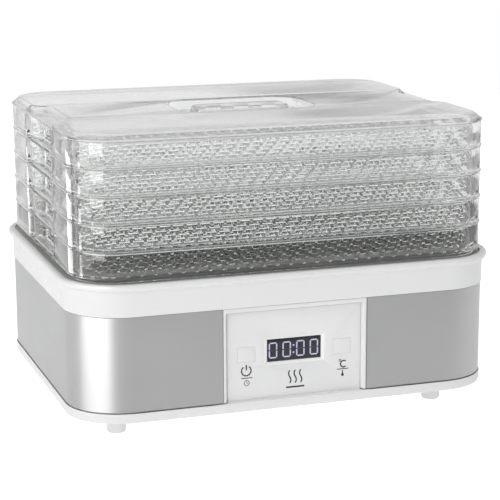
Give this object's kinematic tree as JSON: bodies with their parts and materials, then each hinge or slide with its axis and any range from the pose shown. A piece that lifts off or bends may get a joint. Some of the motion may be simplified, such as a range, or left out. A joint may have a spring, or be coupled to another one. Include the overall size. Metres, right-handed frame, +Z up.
{
  "type": "food dehydrator",
  "caption": "Tabletop food dehydrator: steel-wrapped base with display and buttons, clear stacking trays with grid floors and finger recesses, clear lid with a sunken grip.",
  "frame": {"origin": "centre of the footprint at floor level, under the feet", "axes": "+Z up, -Y towards the control panel, +X to the right as seen from the front"},
  "size_m": [0.3276, 0.2618, 0.2215],
  "materials": {
    "white_plastic": "glossy white moulding",
    "clear_plastic": "clear polished moulding",
    "side_steel": "satin",
    "fitting_steel": "plain",
    "dark_plastic": "glossy black",
    "grey_plastic": "satin grey moulding",
    "deck_plastic": "dark satin moulding",
    "circuit_board": "solder mask",
    "mica": "mica sheet"
  },
  "bodies": {
    "base": {"base_pan": "white_plastic", "side_band": "side_steel", "top_rim": "white_plastic", "air_deck": "deck_plastic", "air_duct": "grey_plastic", "heater_frame": "mica", "heater_coil": "fitting_steel", "thermal_fuse": "fitting_steel", "temperature_probe": "fitting_steel", "intake_grille": "grey_plastic", "motor_bracket": "fitting_steel", "fan_motor": "fitting_steel", "panel_frame": "white_plastic", "panel_fascia": "white_plastic", "display_window": "dark_plastic", "display_module": "dark_plastic", "time_switch": "dark_plastic", "temperature_switch": "dark_plastic", "control_board": "circuit_board", "power_board": "circuit_board", "ribbon_cable": "grey_plastic", "cord_bush": "white_plastic", "foot_1": "white_plastic", "foot_2": "white_plastic", "foot_3": "white_plastic", "foot_4": "white_plastic", "base_screw_1": "fitting_steel", "base_screw_2": "fitting_steel", "base_screw_3": "fitting_steel", "base_screw_4": "fitting_steel", "deck_screw_1": "fitting_steel", "deck_screw_2": "fitting_steel", "deck_screw_3": "fitting_steel", "deck_screw_4": "fitting_steel", "board_screw_1": "fitting_steel", "board_screw_2": "fitting_steel", "board_screw_3": "fitting_steel", "board_screw_4": "fitting_steel", "bracket_screw_1": "fitting_steel", "bracket_screw_2": "fitting_steel"},
    "fan": {"fan_rotor": "dark_plastic", "motor_shaft": "fitting_steel"},
    "time_button": {"time_button": "white_plastic"},
    "temperature_button": {"temperature_button": "white_plastic"},
    "tray_1": {"tray_1": "clear_plastic"},
    "tray_2": {"tray_2": "clear_plastic"},
    "tray_3": {"tray_3": "clear_plastic"},
    "tray_4": {"tray_4": "clear_plastic"},
    "tray_5": {"tray_5": "clear_plastic"},
    "lid": {"lid": "clear_plastic"}
  },
  "joints": [
    {"name": "fan_spin", "type": "hinge", "parent": "base", "child": "fan", "pos_m": [0, 0, 0.067], "axis": [0, 0, 1], "continuous": true},
    {"name": "time_button_press", "type": "slide", "parent": "base", "child": "time_button", "axis": [0, 1, 0], "range_m": [0, 0.0008], "stiffness_N_per_m": 400, "springref_m": -0.0005},
    {"name": "temperature_button_press", "type": "slide", "parent": "base", "child": "temperature_button", "axis": [0, 1, 0], "range_m": [0, 0.0008], "stiffness_N_per_m": 400, "springref_m": -0.0005},
    {"name": "tray_1_lift", "type": "slide", "parent": "base", "child": "tray_1", "axis": [0, 0, 1], "range_m": [0, 0.05]},
    {"name": "tray_2_lift", "type": "slide", "parent": "tray_1", "child": "tray_2", "axis": [0, 0, 1], "range_m": [0, 0.05]},
    {"name": "tray_3_lift", "type": "slide", "parent": "tray_2", "child": "tray_3", "axis": [0, 0, 1], "range_m": [0, 0.05]},
    {"name": "tray_4_lift", "type": "slide", "parent": "tray_3", "child": "tray_4", "axis": [0, 0, 1], "range_m": [0, 0.05]},
    {"name": "tray_5_lift", "type": "slide", "parent": "tray_4", "child": "tray_5", "axis": [0, 0, 1], "range_m": [0, 0.05]},
    {"name": "lid_lift", "type": "slide", "parent": "tray_5", "child": "lid", "axis": [0, 0, 1], "range_m": [0, 0.08]}
  ]
}
